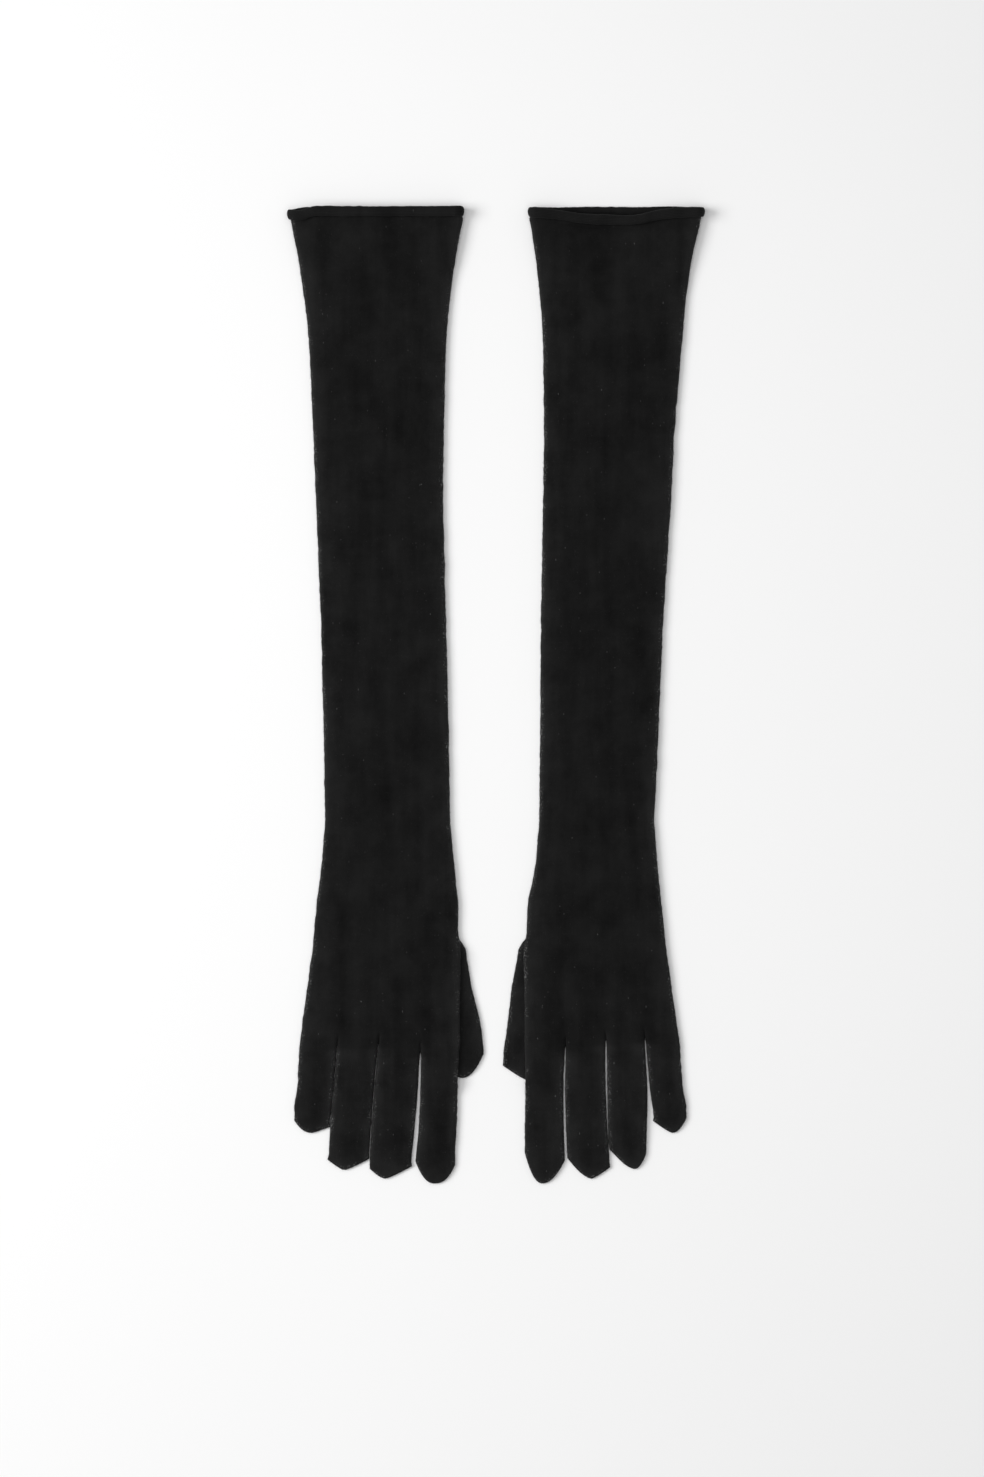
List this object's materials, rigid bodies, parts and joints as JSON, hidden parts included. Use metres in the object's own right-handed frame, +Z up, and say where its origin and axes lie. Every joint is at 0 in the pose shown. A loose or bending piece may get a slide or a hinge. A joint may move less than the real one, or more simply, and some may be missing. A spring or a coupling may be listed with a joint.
{
  "type": "opera gloves",
  "caption": "Pair of long seamless knitted evening gloves with rolled cuffs, laid flat with the thumbs tucked under.",
  "frame": {"origin": "middle of the pair, on the surface that the gloves lie on", "axes": "+Y from the fingertips towards the rolled cuffs, +X from the right-hand glove to the left-hand glove, +Z up, out of the backs of the hands"},
  "size_m": [0.2398, 0.56, 0.0112],
  "materials": {
    "black_knit": "matt fine plain knit",
    "rolled_edge": "matt plain knit, its reverse side showing"
  },
  "bodies": {
    "right_upper_arm": {"right_cuff_roll": "rolled_edge", "right_upper_sleeve": "black_knit"},
    "right_forearm": {"right_forearm_sleeve": "black_knit"},
    "right_hand": {"right_hand_tube": "black_knit"},
    "right_thumb_body": {"right_thumb": "black_knit"},
    "right_index_lower": {"right_index_base": "black_knit"},
    "right_index_end": {"right_index_tip": "black_knit"},
    "right_middle_lower": {"right_middle_base": "black_knit"},
    "right_middle_end": {"right_middle_tip": "black_knit"},
    "right_ring_lower": {"right_ring_base": "black_knit"},
    "right_ring_end": {"right_ring_tip": "black_knit"},
    "right_little_lower": {"right_little_base": "black_knit"},
    "right_little_end": {"right_little_tip": "black_knit"},
    "left_upper_arm": {"left_cuff_roll": "rolled_edge", "left_upper_sleeve": "black_knit"},
    "left_forearm": {"left_forearm_sleeve": "black_knit"},
    "left_hand": {"left_hand_tube": "black_knit"},
    "left_thumb_body": {"left_thumb": "black_knit"},
    "left_index_lower": {"left_index_base": "black_knit"},
    "left_index_end": {"left_index_tip": "black_knit"},
    "left_middle_lower": {"left_middle_base": "black_knit"},
    "left_middle_end": {"left_middle_tip": "black_knit"},
    "left_ring_lower": {"left_ring_base": "black_knit"},
    "left_ring_end": {"left_ring_tip": "black_knit"},
    "left_little_lower": {"left_little_base": "black_knit"},
    "left_little_end": {"left_little_tip": "black_knit"}
  },
  "joints": [
    {"name": "right_elbow_fold", "type": "hinge", "parent": "right_upper_arm", "child": "right_forearm", "pos_m": [-0.0665, 0.15, 0.0069], "axis": [-1, 0, 0], "range_deg": [0, 140]},
    {"name": "right_wrist_fold", "type": "hinge", "parent": "right_forearm", "child": "right_hand", "pos_m": [-0.06, -0.072, 0.0069], "axis": [-1, 0, 0], "range_deg": [0, 70]},
    {"name": "right_thumb_swing", "type": "hinge", "parent": "right_hand", "child": "right_thumb_body", "pos_m": [-0.0184, -0.1435, 0.0033], "axis": [0, 0, 1], "range_deg": [0, 4]},
    {"name": "right_index_knuckle_fold", "type": "hinge", "parent": "right_hand", "child": "right_index_lower", "pos_m": [-0.0321, -0.201, 0.0098], "axis": [-1, 0, 0], "range_deg": [0, 90]},
    {"name": "right_index_middle_fold", "type": "hinge", "parent": "right_index_lower", "child": "right_index_end", "pos_m": [-0.0331, -0.2405, 0.0069], "axis": [-1, 0, 0], "range_deg": [0, 100]},
    {"name": "right_middle_knuckle_fold", "type": "hinge", "parent": "right_hand", "child": "right_middle_lower", "pos_m": [-0.0553, -0.201, 0.0069], "axis": [-1, 0, 0], "range_deg": [0, 90]},
    {"name": "right_middle_middle_fold", "type": "hinge", "parent": "right_middle_lower", "child": "right_middle_end", "pos_m": [-0.0563, -0.23915, 0.0069], "axis": [-1, 0, 0], "range_deg": [0, 100]},
    {"name": "right_ring_knuckle_fold", "type": "hinge", "parent": "right_hand", "child": "right_ring_lower", "pos_m": [-0.0789, -0.201, 0.0069], "axis": [-1, 0, 0], "range_deg": [0, 90]},
    {"name": "right_ring_middle_fold", "type": "hinge", "parent": "right_ring_lower", "child": "right_ring_end", "pos_m": [-0.0799, -0.2367, 0.0069], "axis": [-1, 0, 0], "range_deg": [0, 100]},
    {"name": "right_little_knuckle_fold", "type": "hinge", "parent": "right_hand", "child": "right_little_lower", "pos_m": [-0.1018, -0.201, 0.0069], "axis": [-1, 0, 0], "range_deg": [0, 90]},
    {"name": "right_little_middle_fold", "type": "hinge", "parent": "right_little_lower", "child": "right_little_end", "pos_m": [-0.1028, -0.226, 0.0069], "axis": [-1, 0, 0], "range_deg": [0, 100]},
    {"name": "left_elbow_fold", "type": "hinge", "parent": "left_upper_arm", "child": "left_forearm", "pos_m": [0.0665, 0.15, 0.0069], "axis": [-1, 0, 0], "range_deg": [0, 140]},
    {"name": "left_wrist_fold", "type": "hinge", "parent": "left_forearm", "child": "left_hand", "pos_m": [0.06, -0.072, 0.0069], "axis": [-1, 0, 0], "range_deg": [0, 70]},
    {"name": "left_thumb_swing", "type": "hinge", "parent": "left_hand", "child": "left_thumb_body", "pos_m": [0.014, -0.1435, 0.0033], "axis": [0, 0, -1], "range_deg": [0, 4]},
    {"name": "left_index_knuckle_fold", "type": "hinge", "parent": "left_hand", "child": "left_index_lower", "pos_m": [0.0279, -0.201, 0.0098], "axis": [-1, 0, 0], "range_deg": [0, 90]},
    {"name": "left_index_middle_fold", "type": "hinge", "parent": "left_index_lower", "child": "left_index_end", "pos_m": [0.0289, -0.2405, 0.0069], "axis": [-1, 0, 0], "range_deg": [0, 100]},
    {"name": "left_middle_knuckle_fold", "type": "hinge", "parent": "left_hand", "child": "left_middle_lower", "pos_m": [0.0515, -0.201, 0.0069], "axis": [-1, 0, 0], "range_deg": [0, 90]},
    {"name": "left_middle_middle_fold", "type": "hinge", "parent": "left_middle_lower", "child": "left_middle_end", "pos_m": [0.0525, -0.23915, 0.0069], "axis": [-1, 0, 0], "range_deg": [0, 100]},
    {"name": "left_ring_knuckle_fold", "type": "hinge", "parent": "left_hand", "child": "left_ring_lower", "pos_m": [0.0743, -0.201, 0.0069], "axis": [-1, 0, 0], "range_deg": [0, 90]},
    {"name": "left_ring_middle_fold", "type": "hinge", "parent": "left_ring_lower", "child": "left_ring_end", "pos_m": [0.0753, -0.23635, 0.0069], "axis": [-1, 0, 0], "range_deg": [0, 100]},
    {"name": "left_little_knuckle_fold", "type": "hinge", "parent": "left_hand", "child": "left_little_lower", "pos_m": [0.0957, -0.201, 0.0069], "axis": [-1, 0, 0], "range_deg": [0, 90]},
    {"name": "left_little_middle_fold", "type": "hinge", "parent": "left_little_lower", "child": "left_little_end", "pos_m": [0.0967, -0.226, 0.0069], "axis": [-1, 0, 0], "range_deg": [0, 100]},
    {"name": "gloves_drawn_apart", "type": "slide", "parent": "right_upper_arm", "child": "left_upper_arm", "axis": [1, 0, 0], "range_m": [0, 0.12]}
  ]
}
